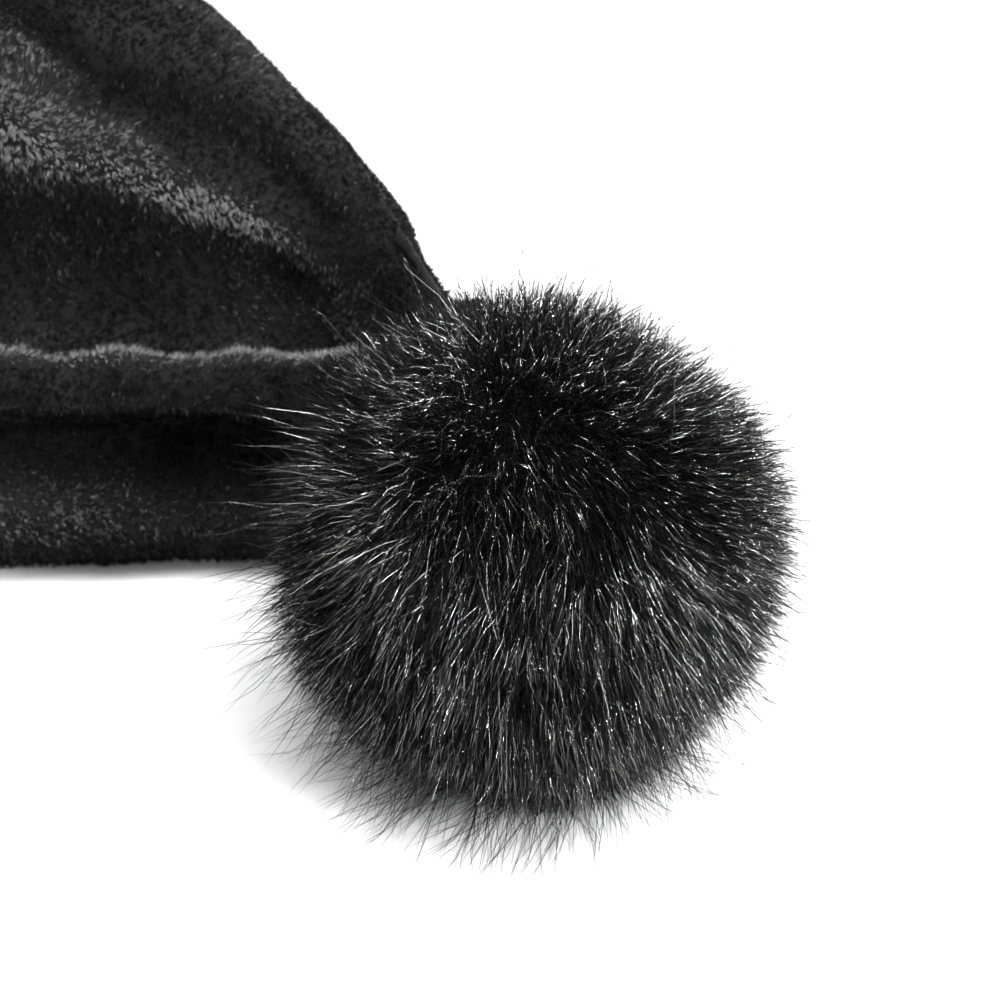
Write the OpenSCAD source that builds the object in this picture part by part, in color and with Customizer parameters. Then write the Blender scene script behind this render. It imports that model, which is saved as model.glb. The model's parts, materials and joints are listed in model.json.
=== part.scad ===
// A plush peaked party hat lying on its side, with a fur cuff and a fur pompom tied to its tip.
// +X runs from the mouth to the tip, -Y is the front, and z = 0 is the plane the hat rests on.
// The origin is on the flattened underside of the cuff, midway across its width.
// Inside the modules x is measured from the mouth, and placed() moves it to the origin.

/* [Shell] */
// Length from the mouth to the gathered neck at the tip
hat_len = 370; // [360:5:380]
// Outside radius of the shell at the mouth
shell_r = 97.5; // [97.3:0.1:97.6]
// Thickness of the plush, backing cloth and pile together
shell_t = 2.3; // [1.8:0.1:2.3]
// Distance from the mouth to the line where the peak folds over
fold_x = 215; // [205:5:230]

/* [Lying shape] */
// Height of the ridge at the tip
tip_ridge_z = 53; // [51:1:55]
// Height of the ridge one hat radius from the mouth
crown_ridge_z = 202; // [198:1:205]
// Height of the two soft rolls along the front edge, taken together, is about twice this
roll_r = 19; // [18:0.5:20]
// How far the front edge moves forward for each millimetre away from the tip
front_slope = 0.325; // [0.315:0.005:0.335]
// How far the back edge bulges behind the tip
back_bulge = 107; // [100:1:110]
// Distance over which the back edge reaches most of its bulge
back_run = 56; // [52:1:60]

/* [Cuff and sweatband] */
// Width of the turned-up fur cuff
cuff_w = 72; // [64:1:74]
// Outside radius of the cuff, fur included
cuff_r = 116; // [114:0.5:118]
// Depth to which the cuff is pressed flat where it rests
cuff_flat = 2; // [1.5:0.5:3]
// Inside radius of the sweatband, which is the head radius
head_r = 92.3; // [91.5:0.1:92.4]
// Width of the sweatband
band_w = 30; // [24:1:34]

/* [Pompom] */
// Radius of the dense part of the fur
pom_r = 42.5; // [40:0.5:42.5]
// Radius of the stuffed pouch inside the fur
pouch_r = 24; // [22:0.5:24]
// Height of the pompom's centre above the resting plane
pom_z = 40; // [39:0.5:42]
// Thickness of the tie thread
thread_d = 1.2; // [1.0:0.1:1.2]

/* [Care label] */
// Width of the label
label_w = 20; // [16:1:20]
// Length of the label
label_l = 30; // [20:1:30]

/* [Hidden] */
$fn = 48;

gap = 0.2;                        // clearance between neighbouring layers
axis_z = cuff_r - cuff_flat;      // height of the mouth's centre
laid_x = 200;                     // beyond this the shell lies fully in its pressed shape
neck_r = 7;                       // radius of the shell where it is gathered
neck_z = 50;                      // height of the gathered neck
neck_run = 9;                     // length over which the shell closes in to the neck
neck_q = 24;                      // the last stretch before the neck, where the rows close up
neck_rows = 7;
neck_thin = 0.4;                  // thickness left at the neck, as a share
front_edge = 1;                   // where the front and back edges start from, beside the neck's axis
back_edge = 8;
ridge_power = 0.93;
full_roll_w = 75;                 // the rolls reach in fully where the pressed shape is at least this wide
roll_taper = 0.94;                // size of the rolls at the neck, as a share
taper_q = 90;                     // distance from the neck at which they have their full size
swell = 1.3;                      // fullness of the curve between two knots; 1 is the plain spline
ridge_run = hat_len - 60;
fold_gap = 0.8;                   // room between crown and peak at the fold line
step = 0.01;                      // step of the numerical slopes

knots = 15;                       // points round the section, starting in the front groove
back_u = 8;                       // knot at which the back side seam lies
seam_u = 0.02;                    // half the gap between two panels, in knots
per_knot = 3;                     // facets between two knots
// Directions of the knots where the section is round
knot_angles = [180, 170, 160, 147, 119, 90, 60, 27, 0, -27, -60, -90, -120, -150, -168];

lining_t = 0.4;
lining_in = shell_t + 1.5;        // depth of the lining's outer face below the pile
mouth_lining_in = shell_t + gap;  // the same inside the cuff, where the layers lie close
lining_ease = 12;                 // it falls away over this much on either side of the cuff's edge
seam_r = 0.3;
seam_in = shell_t + 0.55;

// ---- numbers and vectors ----
function mix(a, b, t) = a + (b - a) * t;
function clamp01(t) = max(0, min(1, t));
function smooth(e0, e1, x) = let (t = clamp01((x - e0) / (e1 - e0))) t * t * (3 - 2 * t);
function unit(v) = v / norm(v);
function steps(a, b, n) = [for (k = [0:n]) mix(a, b, k / n)];

// ---- the lying shape: q is the distance from the neck ----
function front_y(q) = front_edge - front_slope * q;
function back_y(q) = back_edge + back_bulge * (1 - exp(-q / back_run));
function ridge_z(q) = tip_ridge_z + (crown_ridge_z - tip_ridge_z) * pow(q / ridge_run, ridge_power);

// Knots of the pressed section: groove, upper roll, crown, back edge, resting bottom, lower roll
function pressed_knots(q) = let (
    f = front_y(q),
    w = back_y(q) - f,
    h = ridge_z(q),
    r = roll_r * mix(roll_taper, 1, clamp01(q / taper_q)),
    e = min(1, w / full_roll_w)
) [
    [f + 13 * e, 1.26 * r], [f + e, 1.84 * r], [f + 9 * e, 2.34 * r], [f + 22 * e, 1.95 * r + 0.02 * h],
    [f + 0.36 * w, 0.80 * h], [f + 0.54 * w, h], [f + 0.78 * w, 0.84 * h], [f + 0.96 * w, 0.52 * h],
    [f + w - 3, 0.32 * h], [f + 0.97 * w, 0.14 * h], [f + 0.80 * w, 0], [f + 0.50 * w, 0],
    [f + 0.20 * w, 0], [f + 3 * e, 0.10 * r], [f - 2 * e, 0.50 * r]
];

// Smooth closed curve through the knots, with slopes weighted by the chord lengths
function curve(k, u) = let (
    i = floor(u),
    t = u - i,
    a = k[(i + knots - 1) % knots],
    b = k[i % knots],
    c = k[(i + 1) % knots],
    d = k[(i + 2) % knots],
    ab = norm(b - a),
    bc = norm(c - b),
    cd = norm(d - c),
    vb = swell * ((b - a) / ab * bc + (c - b) / bc * ab) / (ab + bc) * bc,
    vc = swell * ((c - b) / bc * cd + (d - c) / cd * bc) / (bc + cd) * bc
) b * (1 - t * t * (3 - 2 * t)) + vb * t * (1 - t) * (1 - t) + c * t * t * (3 - 2 * t) - vc * t * t * (1 - t);

// Direction round the round part of the section, turning one way only
function turn(u) = let (
    i = floor(u),
    a = knot_angles[i % knots],
    b = knot_angles[(i + 1) % knots]
) a + ((b > a ? b - 360 : b) - a) * (u - i);

function on_circle(u, r, z) = [r * cos(turn(u)), z + r * sin(turn(u))];

// Point of the shell's outer face at distance x from the mouth, u knots round the section
function face_point(x, u0) = let (
    u = u0 < 0 ? u0 + knots : u0,
    q = max(hat_len - x, 0),
    round_part = on_circle(u, shell_r, axis_z),
    laid = mix(round_part, curve(pressed_knots(q), u), smooth(cuff_w, laid_x, x)),
    p = mix(laid, on_circle(u, neck_r, neck_z), exp(-pow(q / neck_run, 1.5)))
) [x, p[0], max(p[1], 0)];

// The same point moved inwards along the surface's normal; depths shrink where the neck is drawn tight
function skin(x, u, inset) = let (
    along = face_point(x + step, u) - face_point(x - step, u),
    round_it = face_point(x, u + step) - face_point(x, u - step),
    depth = inset * mix(neck_thin, 1, smooth(0, neck_q, hat_len - x))
) face_point(x, u) + depth * unit(cross(round_it, along));

function sheet(xs, us, inset) = [for (x = xs) [for (u = us) skin(x, u, inset)]];

// ---- rows along the hat and columns round it ----
crown_xs = concat([2, 0.5 * cuff_w], steps(cuff_w, fold_x - fold_gap / 2, 14));
peak_body_xs = steps(fold_x + fold_gap / 2, hat_len - neck_q, 13);
peak_xs = concat(peak_body_xs, [for (k = [1:neck_rows]) hat_len - neck_q * pow(1 - k / neck_rows, 1.3)]);
// The lining stops at the last stretch before the neck
peak_lining_xs = peak_body_xs;
lining_end = neck_q;
front_us = steps(seam_u, back_u - seam_u, back_u * per_knot);
back_us = steps(back_u + seam_u, knots - seam_u, (knots - back_u) * per_knot);

// ---- frame of the pompom: its axis runs from the elbow of the gathered tip to the centre ----
elbow = [hat_len + 8, 0, neck_z];
pom_c = [hat_len + 26, -44, pom_z];
pom_axis = unit(pom_c - elbow);
pom_side = unit(cross([0, 0, 1], pom_axis));
pom_up = cross(pom_axis, pom_side);
pom_s = norm(pom_c - elbow);      // distance of the centre along the axis

thread_r = thread_d / 2;
loop_r = 3;                       // radius of every thread loop, at the thread's centre
hook = thread_d + 0.25;           // distance between two threads that hook into each other
tip_pivot_s = 14;                 // where the tie hangs in the tip's loop
pom_pivot_s = 19.7;               // where the pompom hangs in the tie
stub_r = 6.6;
stub_s = 10;
leg_s = 4.5;                      // how deep the tip loop's legs reach into the stub
leg_r = thread_r + 0.1;           // a loop's legs, waxed where they enter the cloth
leg_hole_r = leg_r + 0.05;
arc_over = 8;                     // degrees by which a loop's arch runs on into its legs
plug_r = 5;
plug_s = pom_s - pouch_r - 2.6;   // face of the pouch's gathered mouth
plug_deep = 6;

// ---- building blocks ----
function quad(a, b, c, d) = [[a, b, c], [a, c, d]];

// A closed solid between an outer and an inner sheet of points
module wall(outer, inner) {
    rows = len(outer);
    cols = len(outer[0]);
    under = rows * cols;
    points = concat([for (row = outer) each row], [for (row = inner) each row]);
    skins = [for (i = [0:rows - 2], j = [0:cols - 2]) let (
        a = i * cols + j,
        b = a + 1,
        c = b + cols,
        d = a + cols
    ) each concat(quad(a, b, c, d), quad(under + d, under + c, under + b, under + a))];
    ends = [for (j = [0:cols - 2]) let (a = j, e = (rows - 1) * cols + j)
        each concat(quad(a, a + under, a + 1 + under, a + 1), quad(e, e + 1, e + 1 + under, e + under))];
    sides = [for (i = [0:rows - 2]) let (a = i * cols, e = a + cols - 1)
        each concat(quad(a, a + cols, a + cols + under, a + under),
                    quad(e, e + under, e + cols + under, e + cols))];
    polyhedron(points, concat(skins, ends, sides));
}

// A plush or lining panel: the shell's shape between two depths
module panel(xs, us, depth, thick) {
    wall(sheet(xs, us, depth), sheet(xs, us, depth + thick));
}

// A lining panel, close under the shell at the mouth and looser beyond the cuff
module crown_lining(us) {
    xs = crown_xs;
    depths = [for (x = xs) mix(mouth_lining_in, lining_in, smooth(cuff_w - lining_ease, cuff_w + lining_ease, x))];
    rows = [0:len(xs) - 1];
    wall([for (i = rows) [for (u = us) skin(xs[i], u, depths[i])]],
         [for (i = rows) [for (u = us) skin(xs[i], u, depths[i] + lining_t)]]);
}

// A thread run along the inside of the shell at u knots round the section
module seam_cord(x0, x1, u, n) {
    sides = 6;
    rings = [for (x = steps(x0, x1, n)) let (
        c = skin(x, u, seam_in),
        across = unit(skin(x, u + step, seam_in) - skin(x, u - step, seam_in)),
        inwards = unit(skin(x, u, seam_in + 1) - c)
    ) [for (k = [0:sides - 1]) c + seam_r * (cos(360 * k / sides) * across + sin(360 * k / sides) * inwards)]];
    points = [for (ring = rings) each ring];
    skins = [for (i = [0:n - 1], k = [0:sides - 1]) let (m = (k + 1) % sides, a = i * sides)
        each quad(a + k, a + k + sides, a + m + sides, a + m)];
    caps = [[for (k = [0:sides - 1]) k], [for (k = [0:sides - 1]) n * sides + sides - 1 - k]];
    polyhedron(points, concat(skins, caps));
}

// A short straight stitch between two points
module stitch(p, q, r) {
    along = q - p;
    translate(p)
        rotate([0, acos(along[2] / norm(along)), atan2(along[1], along[0])])
            cylinder(h = norm(along), r = r);
}

// Moves a piece whose x is measured from the mouth to the origin under the cuff
module placed() {
    translate([-cuff_w / 2, 0, 0]) children();
}

// Places its children on the mouth's axis, with their z running along +X
module on_mouth_axis() {
    translate([0, 0, axis_z]) rotate([0, 90, 0]) children();
}

// Places its children in the pompom's frame, s along its axis from the elbow
module on_pom_axis(s) {
    multmatrix([
        [pom_side[0], pom_up[0], pom_axis[0], elbow[0] + s * pom_axis[0]],
        [pom_side[1], pom_up[1], pom_axis[1], elbow[1] + s * pom_axis[1]],
        [pom_side[2], pom_up[2], pom_axis[2], elbow[2] + s * pom_axis[2]]
    ]) children();
}

// Half a thread ring in the x-z plane, arching towards +z
module half_loop() {
    rotate([90, 0, 0]) rotate(-arc_over)
        rotate_extrude(angle = 180 + 2 * arc_over) translate([loop_r, 0]) circle(r = thread_r);
}

// The two straight legs of a loop, from s0 to s1 along the pompom's axis
module legs(s0, s1, r) {
    for (side = [-1, 1])
        on_pom_axis(s0) translate([side * loop_r, 0, 0]) cylinder(h = s1 - s0, r = r);
}

// A thread ring round the z axis
module winding(r, s) {
    translate([0, 0, s]) rotate_extrude() translate([r, 0]) circle(r = thread_r);
}

// A ring section with two rounded outer corners; x is the radius and y runs along the axis
module cuff_profile(r_in, r_out, a, b, corner) {
    translate([r_in, a]) square([r_out - corner - r_in, b - a]);
    translate([r_in, a + corner]) square([r_out - r_in, b - a - 2 * corner]);
    intersection() {
        translate([r_in, a]) square([r_out - r_in, b - a]);
        for (y = [a + corner, b - corner])
            translate([r_out - corner, y]) circle(r = corner);
    }
}

cuff_in = shell_r + gap;          // inner face of the cuff
cuff_turn = 1.6;                  // thickness of the cuff's turned-in edges
cuff_wall = 6.5;                  // thickness of its fur
cuff_side = 5;
turn_in = 14;                     // width of the turned-in edges
wad_gap = 0.3;

module below_rest() {
    translate([-500, -500, -400]) cube([1500, 1000, 400]);
}

// The cuff's fur strip in section: a C open towards the shell
module cuff_section() {
    difference() {
        cuff_profile(cuff_in, cuff_r, 0, cuff_w, 10);
        translate([cuff_in + cuff_turn, cuff_side])
            square([cuff_r - cuff_wall - cuff_in - cuff_turn, cuff_w - 2 * cuff_side]);
        translate([cuff_in - 1, turn_in]) square([cuff_turn + 2, cuff_w - 2 * turn_in]);
    }
}

// ---- crown ----
module crown_front_panel() {
    color([0.10, 0.10, 0.105]) placed() panel(crown_xs, front_us, 0, shell_t);
}

module crown_back_panel() {
    color([0.085, 0.085, 0.09]) placed() panel(crown_xs, back_us, 0, shell_t);
}

module crown_side_seams() {
    color([0.02, 0.02, 0.02]) placed()
        for (u = [0, back_u]) seam_cord(cuff_w + 4, fold_x - 3, u, 10);
}

module crown_lining_front() {
    color([0.16, 0.16, 0.17]) placed() crown_lining(front_us);
}

module crown_lining_back() {
    color([0.15, 0.15, 0.16]) placed() crown_lining(back_us);
}

seam_slot = 1.1;                  // width of the slot in the cuff where its ends meet

module cuff_cover() {
    color([0.07, 0.07, 0.07]) placed() difference() {
        on_mouth_axis() rotate_extrude() cuff_section();
        below_rest();
        translate([-1, 0, axis_z - seam_slot / 2]) cube([cuff_w + 2, cuff_r + 5, seam_slot]);
    }
}

module cuff_wadding() {
    color([0.85, 0.85, 0.83]) placed() on_mouth_axis() rotate_extrude()
        translate([cuff_in + cuff_turn + wad_gap, cuff_side + wad_gap])
            square([cuff_r - cuff_wall - cuff_in - cuff_turn - 2 * wad_gap, cuff_w - 2 * (cuff_side + wad_gap)]);
}

// The sewn ends of the fur strip: thread that fills the slot at the back of the cuff
module cuff_back_seam() {
    seam_t = seam_slot - 2 * gap;
    color([0.02, 0.02, 0.02]) placed()
        translate([0, 0, axis_z - seam_t / 2])
            linear_extrude(seam_t) rotate(90) mirror([0, 1]) difference() {
                intersection() {
                    cuff_section();
                    cuff_profile(cuff_in, cuff_r - 3, 2, cuff_w - 2, 8);
                }
                translate([cuff_in - 1, -1]) square([cuff_turn + 1.2, cuff_w + 2]);
            }
}

slip_stitches = 40;

module cuff_slip_stitches() {
    color([0.02, 0.02, 0.02]) placed()
        for (k = [0:slip_stitches - 1]) let (u = knots * (k + 0.5) / slip_stitches)
            stitch(skin(cuff_w + 1.2, u, -0.75), skin(cuff_w + 4, u + 0.06, -0.75), 0.4);
}

// ---- sweatband ----
band_x = 3;
band_wall = 0.5;
band_out = head_r + 1.5;
elastic_t = 0.3;

module sweatband() {
    color([0.05, 0.05, 0.055]) placed() on_mouth_axis() translate([0, 0, band_x]) difference() {
        cylinder(h = band_w, r = band_out);
        translate([0, 0, -1]) cylinder(h = band_w + 2, r = head_r);
        // the casing is open towards the crown, where its two edges are sewn
        translate([0, 0, 2]) difference() {
            cylinder(h = band_w, r = head_r + band_wall + elastic_t + 0.2);
            translate([0, 0, -1]) cylinder(h = band_w + 2, r = head_r + band_wall);
        }
    }
}

module sweatband_elastic() {
    inner = head_r + band_wall + 0.1;
    color([0.92, 0.92, 0.90]) placed() on_mouth_axis() translate([0, 0, band_x + 3]) difference() {
        cylinder(h = band_w - 5, r = inner + elastic_t);
        translate([0, 0, -1]) cylinder(h = band_w, r = inner);
    }
}

// ---- care label, hanging from the back side seam just inside the sweatband ----
label_y = head_r + 0.6;
hinge_x = band_x + band_w + 4;
label_t = 0.3;
hem_r = 0.5;

module care_label() {
    color([0.93, 0.93, 0.92]) placed() {
        translate([hinge_x, label_y, axis_z - label_w / 2]) cylinder(h = label_w, r = hem_r);
        translate([hinge_x, label_y - label_t / 2, axis_z - label_w / 2])
            cube([label_l, label_t, label_w]);
    }
}

tack_stitches = 5;

module label_tack_stitches() {
    tack_l = 2.6;
    color([0.03, 0.03, 0.03]) placed()
        for (k = [0:tack_stitches - 1])
            translate([
                hinge_x - 2,
                label_y,
                axis_z + (k - (tack_stitches - 1) / 2) * label_w / (tack_stitches + 0.5) - tack_l / 2
            ]) cylinder(h = tack_l, r = 0.3);
}

// ---- peak ----
module peak_front_panel() {
    color([0.10, 0.10, 0.105]) placed() panel(peak_xs, front_us, 0, shell_t);
}

module peak_back_panel() {
    color([0.085, 0.085, 0.09]) placed() panel(peak_xs, back_us, 0, shell_t);
}

module peak_side_seams() {
    color([0.02, 0.02, 0.02]) placed()
        for (u = [0, back_u]) seam_cord(fold_x + 3, hat_len - lining_end - 2, u, 9);
}

module peak_lining_front() {
    color([0.16, 0.16, 0.17]) placed() panel(peak_lining_xs, front_us, lining_in, lining_t);
}

module peak_lining_back() {
    color([0.15, 0.15, 0.16]) placed() panel(peak_lining_xs, back_us, lining_in, lining_t);
}

// The bunched end of the shell, bent towards the pompom and bored for the loop's two legs
module gathered_tip() {
    color([0.09, 0.09, 0.09]) placed() difference() {
        union() {
            translate([hat_len + 0.4, 0, neck_z]) rotate([0, 90, 0])
                cylinder(h = elbow[0] - hat_len - 0.4, r = stub_r);
            translate(elbow) sphere(r = stub_r);
            on_pom_axis(0) cylinder(h = stub_s, r = plug_r + 0.2);
        }
        legs(leg_s - 0.5, stub_s + 5, leg_hole_r);
    }
}

module tip_gather_thread() {
    color([0.02, 0.02, 0.02]) placed()
        for (k = [0:2])
            translate([hat_len + 1.4 + k * thread_d, 0, neck_z]) rotate([0, 90, 0])
                winding(stub_r + thread_r + 0.05, 0);
}

module tip_loop() {
    arc_s = tip_pivot_s - loop_r;
    color([0.03, 0.03, 0.03]) placed() {
        on_pom_axis(arc_s) half_loop();
        legs(leg_s, arc_s, leg_r);
    }
}

// ---- tie: a thread ring that hooks into the tip's loop and the pompom's loop ----
module tie_link() {
    near_s = tip_pivot_s - hook;
    ring_r = (pom_pivot_s - near_s) / 2;
    color([0.03, 0.03, 0.03]) placed()
        on_pom_axis(near_s + ring_r) rotate([0, 90, 0]) winding(ring_r, 0);
}

// ---- pompom ----
module pompom_loop() {
    arc_s = pom_pivot_s - hook + loop_r;
    color([0.03, 0.03, 0.03]) placed() {
        on_pom_axis(arc_s) rotate([180, 0, 0]) half_loop();
        legs(arc_s, plug_s + plug_deep - 1.5, leg_r);
    }
}

module pompom_gather_thread() {
    color([0.02, 0.02, 0.02]) placed()
        for (k = [0, 1])
            on_pom_axis(plug_s + 0.8 + k * thread_d) winding(plug_r + thread_r + 0.05, 0);
}

pouch_t = 1.4;

// Backing cloth of the fur, drawn together to a ball with a bunched mouth
module pompom_pouch() {
    color([0.12, 0.12, 0.12]) placed() difference() {
        union() {
            difference() {
                translate(pom_c) sphere(r = pouch_r);
                translate(pom_c) sphere(r = pouch_r - pouch_t);
            }
            on_pom_axis(plug_s) cylinder(h = plug_deep, r = plug_r);
        }
        legs(plug_s - 1, plug_s + plug_deep - 1, leg_hole_r);
        on_pom_axis(plug_s - 1) cylinder(h = plug_deep + 2, r = 1);
    }
}

module pompom_filling() {
    color([0.9, 0.9, 0.88]) placed() difference() {
        translate(pom_c) sphere(r = pouch_r - pouch_t - 0.3);
        on_pom_axis(0) cylinder(h = plug_s + plug_deep + 0.4, r = plug_r + 0.4);
    }
}

// The pile, with a funnel in which the tie and the gathered tip can swing
module pompom_fur() {
    funnel_out = 22;
    funnel_in = 7.3;
    funnel_s = 2;
    color([0.06, 0.06, 0.06]) placed() difference() {
        translate(pom_c) sphere(r = pom_r);
        translate(pom_c) sphere(r = pouch_r + 0.3);
        on_pom_axis(funnel_s) cylinder(h = pom_s - pouch_r + 1.4 - funnel_s, r1 = funnel_out, r2 = funnel_in);
        below_rest();
    }
}

crown_front_panel();
crown_back_panel();
crown_side_seams();
crown_lining_front();
crown_lining_back();
cuff_cover();
cuff_wadding();
cuff_back_seam();
cuff_slip_stitches();
sweatband();
sweatband_elastic();
label_tack_stitches();
care_label();
peak_front_panel();
peak_back_panel();
peak_side_seams();
peak_lining_front();
peak_lining_back();
gathered_tip();
tip_gather_thread();
tip_loop();
tie_link();
pompom_loop();
pompom_gather_thread();
pompom_pouch();
pompom_filling();
pompom_fur();
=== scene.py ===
"""A black plush party hat lying on its side, with a fur cuff and a long-haired fur pompom.

The hat's sewn cloth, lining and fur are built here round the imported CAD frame.
Lengths inside the shape functions are millimetres; x is measured from the mouth.
"""
import json
import math
import bpy
import numpy as np
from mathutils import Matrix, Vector

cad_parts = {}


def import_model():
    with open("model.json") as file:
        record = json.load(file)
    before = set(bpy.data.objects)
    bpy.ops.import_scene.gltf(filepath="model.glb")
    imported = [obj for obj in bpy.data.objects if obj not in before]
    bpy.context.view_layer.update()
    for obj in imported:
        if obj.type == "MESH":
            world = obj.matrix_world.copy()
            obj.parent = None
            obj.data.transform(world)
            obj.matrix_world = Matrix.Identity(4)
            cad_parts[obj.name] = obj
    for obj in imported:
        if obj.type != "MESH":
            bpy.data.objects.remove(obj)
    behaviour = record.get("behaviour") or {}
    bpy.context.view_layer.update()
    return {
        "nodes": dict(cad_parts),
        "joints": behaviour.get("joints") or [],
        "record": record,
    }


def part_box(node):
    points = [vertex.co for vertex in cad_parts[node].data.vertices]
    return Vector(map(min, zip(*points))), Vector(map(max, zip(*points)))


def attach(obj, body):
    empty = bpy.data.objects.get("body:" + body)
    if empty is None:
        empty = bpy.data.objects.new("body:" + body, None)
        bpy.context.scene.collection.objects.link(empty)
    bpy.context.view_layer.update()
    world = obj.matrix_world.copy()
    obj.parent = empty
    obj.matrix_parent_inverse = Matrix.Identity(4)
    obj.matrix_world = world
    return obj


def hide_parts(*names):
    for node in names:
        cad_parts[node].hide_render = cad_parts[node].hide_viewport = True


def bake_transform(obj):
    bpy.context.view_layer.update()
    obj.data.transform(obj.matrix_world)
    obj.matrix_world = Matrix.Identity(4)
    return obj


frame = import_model()

MM = 0.001
SEED = 20

# ---------------------------------------------------------------- driving sizes
record = frame["record"]
mounts = {m["name"]: m for m in record["mounts"]}
joints = {j["name"]: j for j in frame["joints"]}

cuff_lo, cuff_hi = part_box("cuff_cover")
MOUTH = Vector((cuff_lo.x / MM, 0, 0))  # where x = 0 of the shape functions lies
CUFF_W = (cuff_hi.x - cuff_lo.x) / MM
AXIS_Z = mounts["head_opening"]["pos_m"][2] / MM
HEAD_R = mounts["head_opening"]["dims"]["r_mm"]
SHELL_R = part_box("crown_front_panel")[1].z / MM - AXIS_Z
HAT_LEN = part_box("peak_front_panel")[1].x / MM - MOUTH.x

filling_lo, filling_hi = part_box("pompom_filling")
POM_C = np.array((filling_lo + filling_hi) / 2) / MM
POM_R = (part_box("pompom_fur")[1].z / MM) - POM_C[2]
TIP_PIVOT = np.array(joints["pompom_lift"]["pos_m"]) / MM
POM_AXIS = (POM_C - TIP_PIVOT) / np.linalg.norm(POM_C - TIP_PIVOT)

# the lying shape, as in the CAD shell; q is the distance back from the neck
TIP_RIDGE_Z = 53.0  # height of the ridge at the neck
CROWN_RIDGE_Z = 202.0  # and at the crown
RIDGE_RUN = HAT_LEN - 60.0
RIDGE_POWER = 0.93
ROLL_R = 19.0  # radius of the two front rolls
ROLL_TAPER = 0.94  # their share of it at the neck, full from TAPER_Q on
TAPER_Q = 90.0
FULL_ROLL_W = 75.0  # narrower sections squeeze the rolls
FRONT_EDGE, FRONT_SLOPE = 1.0, 0.325
BACK_EDGE, BACK_BULGE, BACK_RUN = 8.0, 107.0, 56.0
NECK_R, NECK_Z, NECK_RUN = 7.0, 50.0, 9.0
LAID_X = 200.0  # from here to the tip the hat is fully pressed down
SWELL = 1.3  # how far the section bulges between its knots
KNOTS = 15
BACK_U = 8.0  # the back side seam; the front one is at u = 0
# the knots' places on the round crown, from the front groove over the top and back again
KNOT_ANGLES = np.radians([180, 170, 160, 147, 119, 90, 60, 27, 0, -27, -60, -90, -120, -150, -168, -180])


# ---------------------------------------------------------------- small helpers
def smooth(e0, e1, x):
    t = np.clip((x - e0) / (e1 - e0), 0, 1)
    return t * t * (3 - 2 * t)


def unit(v):
    return v / np.maximum(np.linalg.norm(v, axis=-1, keepdims=True), 1e-9)


def bell(x, centre, width):
    return np.exp(-((x - centre) / width) ** 2)


class Waves:
    """Smooth repeatable noise over points: a sum of plane waves with wavelengths near `size`."""

    def __init__(self, seed, size, count=14):
        rng = np.random.default_rng(SEED + seed)
        heading = unit(rng.normal(size=(count, 3)))
        self.k = heading * (2 * math.pi / (size * rng.uniform(0.7, 1.6, (count, 1))))
        self.phase = rng.uniform(0, 2 * math.pi, count)
        self.scale = 1.4 / math.sqrt(count)

    def __call__(self, p):
        return np.sin(p @ self.k.T + self.phase).sum(-1) * self.scale


# ---------------------------------------------------------------- the lying shape
def front_y(q):
    return FRONT_EDGE - FRONT_SLOPE * q


def back_y(q):
    return BACK_EDGE + BACK_BULGE * (1 - np.exp(-q / BACK_RUN))


def ridge_z(q):
    return TIP_RIDGE_Z + (CROWN_RIDGE_Z - TIP_RIDGE_Z) * (q / RIDGE_RUN) ** RIDGE_POWER


def pressed_knots(q):
    """The 15 points of the pressed section at each distance q from the neck, shape (n, 15, 2)."""
    f, h = front_y(q), ridge_z(q)
    r = ROLL_R * (ROLL_TAPER + (1 - ROLL_TAPER) * np.minimum(q / TAPER_Q, 1))
    w = back_y(q) - f
    e = np.minimum(1, w / FULL_ROLL_W)
    flat = np.zeros_like(q)
    ys = [f + 13 * e, f + e, f + 9 * e, f + 22 * e, f + 0.36 * w, f + 0.54 * w, f + 0.78 * w, f + 0.96 * w,
          f + w - 3, f + 0.97 * w, f + 0.80 * w, f + 0.50 * w, f + 0.20 * w, f + 3 * e, f - 2 * e]
    zs = [1.26 * r, 1.84 * r, 2.34 * r, 1.95 * r + 0.02 * h, 0.80 * h, h, 0.84 * h, 0.52 * h,
          0.32 * h, 0.14 * h, flat, flat, flat, 0.10 * r, 0.50 * r]
    return np.stack([np.stack(ys, 1), np.stack(zs, 1)], 2)


def curve(k, u):
    """Closed curve through the knots at parameters u, slopes weighted by chord lengths: (n, m, 2)."""
    i = np.floor(u).astype(int)
    t = (u - i)[None, :, None]
    a, b, c, d = (k[:, (i + s) % KNOTS] for s in (-1, 0, 1, 2))
    ab, bc, cd = (np.linalg.norm(v, axis=2, keepdims=True) for v in (b - a, c - b, d - c))
    vb = ((b - a) / ab * bc + (c - b) / bc * ab) / (ab + bc) * bc
    vc = ((c - b) / bc * cd + (d - c) / cd * bc) / (bc + cd) * bc
    rise = t * t * (3 - 2 * t)
    return b * (1 - rise) + SWELL * vb * t * (1 - t) ** 2 + c * rise - SWELL * vc * t * t * (1 - t)


def on_circle(u, r, z):
    angle = np.interp(u, np.arange(KNOTS + 1), KNOT_ANGLES)
    return np.stack([r * np.cos(angle), z + r * np.sin(angle)], -1)[None]


def face_points(x, u):
    """Points of the shell's outer face, (rows, columns, 3), before any detail."""
    u = np.mod(u, KNOTS)
    q = np.maximum(HAT_LEN - x, 0)
    laid = curve(pressed_knots(q), u)
    m = smooth(CUFF_W, LAID_X, x)[:, None, None]
    p = on_circle(u, SHELL_R, AXIS_Z) * (1 - m) + laid * m
    n = np.exp(-((q / NECK_RUN) ** 1.5))[:, None, None]
    p = p * (1 - n) + on_circle(u, NECK_R, NECK_Z) * n
    return np.concatenate([np.broadcast_to(x[:, None, None], p.shape[:2] + (1,)), p], 2)


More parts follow.
